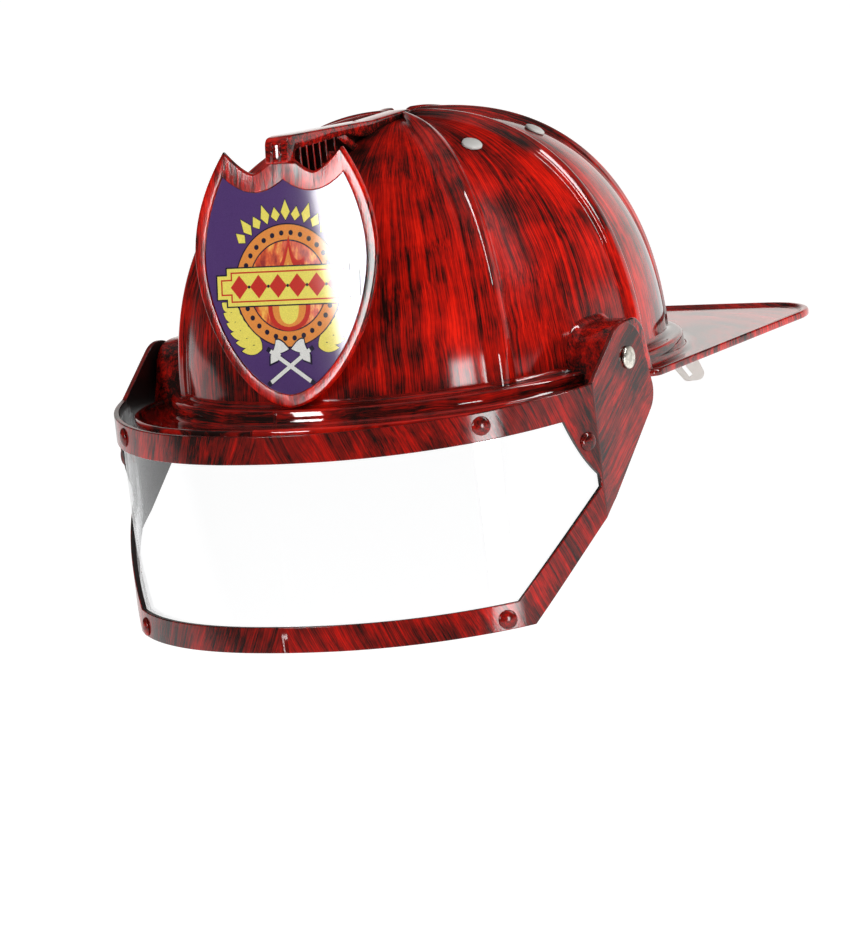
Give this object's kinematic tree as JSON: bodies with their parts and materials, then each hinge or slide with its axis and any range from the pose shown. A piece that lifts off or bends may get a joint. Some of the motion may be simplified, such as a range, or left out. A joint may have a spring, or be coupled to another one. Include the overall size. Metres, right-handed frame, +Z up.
{
  "type": "firefighter helmet",
  "caption": "Ribbed dome helmet with a long rear brim, a shield-shaped front plate held by a beak, a clear flip-up visor on side pivots, and an inner headband with crown straps.",
  "frame": {"origin": "middle of the dome's plan, at the height where the hat band meets the brim; the head comes up to it from below", "axes": "+Z up, -Y the front, +X the wearer's left"},
  "size_m": [0.2046, 0.2653, 0.183],
  "materials": {
    "shell_red": "glossy sprayed red with dark brushed streaks",
    "shield_red": "glossy sprayed red",
    "visor_red": "glossy red outside with dark brushed streaks, bare black inside",
    "rivet_red": "glossy red",
    "label_print": "printed foil in navy, orange and yellow",
    "lens_clear": "clear film",
    "pivot_nickel": "nickel plated, lightly worn",
    "steel_clip": "plain sheet steel",
    "peg_white": "natural moulded plastic",
    "strap_white": "natural translucent plastic"
  },
  "bodies": {
    "helmet": {"shell": "shell_red", "front_shield": "shield_red", "shield_label": "label_print", "shield_retainer": "steel_clip", "pivot_rivet_left": "pivot_nickel", "pivot_rivet_right": "pivot_nickel", "pivot_washer_left": "steel_clip", "pivot_washer_right": "steel_clip", "crown_peg_front_left": "peg_white", "crown_peg_front_right": "peg_white", "crown_peg_rear_left": "peg_white", "crown_peg_rear_right": "peg_white", "crown_strap_front": "strap_white", "crown_strap_rear": "strap_white", "strap_stud_front_left": "peg_white", "strap_stud_front_right": "peg_white", "strap_stud_rear_left": "peg_white", "strap_stud_rear_right": "peg_white", "headband": "strap_white", "nape_strap": "strap_white", "size_stud_left": "peg_white", "size_stud_right": "peg_white"},
    "visor": {"visor_frame": "visor_red", "visor_lens": "lens_clear", "lens_rivet_left_top": "rivet_red", "lens_rivet_left_side": "rivet_red", "lens_rivet_left_bottom": "rivet_red", "lens_rivet_right_top": "rivet_red", "lens_rivet_right_side": "rivet_red", "lens_rivet_right_bottom": "rivet_red"}
  },
  "joints": [
    {"name": "visor_hinge", "type": "hinge", "parent": "helmet", "child": "visor", "pos_m": [0, -0.0272, 0.0092], "axis": [-1, 0, 0], "range_deg": [0, 48]}
  ]
}
